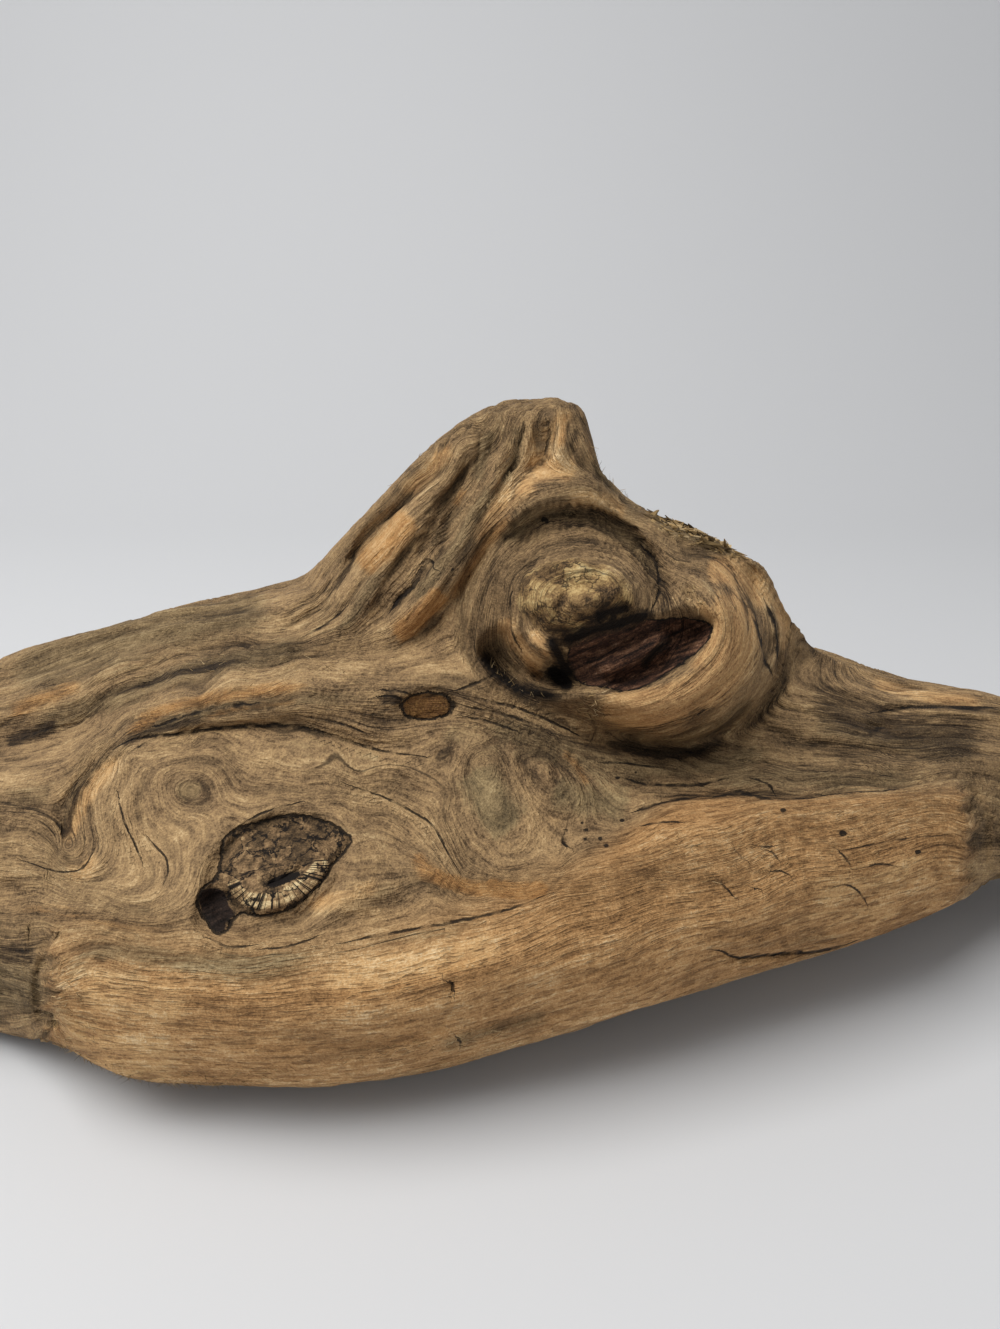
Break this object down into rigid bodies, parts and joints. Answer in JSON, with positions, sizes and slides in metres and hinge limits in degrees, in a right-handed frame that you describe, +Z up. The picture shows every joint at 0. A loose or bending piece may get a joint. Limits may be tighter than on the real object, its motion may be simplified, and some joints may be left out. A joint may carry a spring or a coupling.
{
  "type": "piece of driftwood",
  "caption": "Weathered length of knotted trunk with a broken branch stub and a burl, for lying on a shelf or in a tank.",
  "frame": {"origin": "on the floor under the middle of the wood's bounding box", "axes": "+X along the wood's length to its narrow end, +Z up, -Y towards the swirled face with the burl's mouth"},
  "size_m": [0.46, 0.2069, 0.1663],
  "materials": {
    "weathered_wood": "bare water-worn wood, dry and matt, grey-brown on raised grain and warm tan where worn"
  },
  "bodies": {
    "root": {"driftwood": "weathered_wood"}
  },
  "joints": []
}
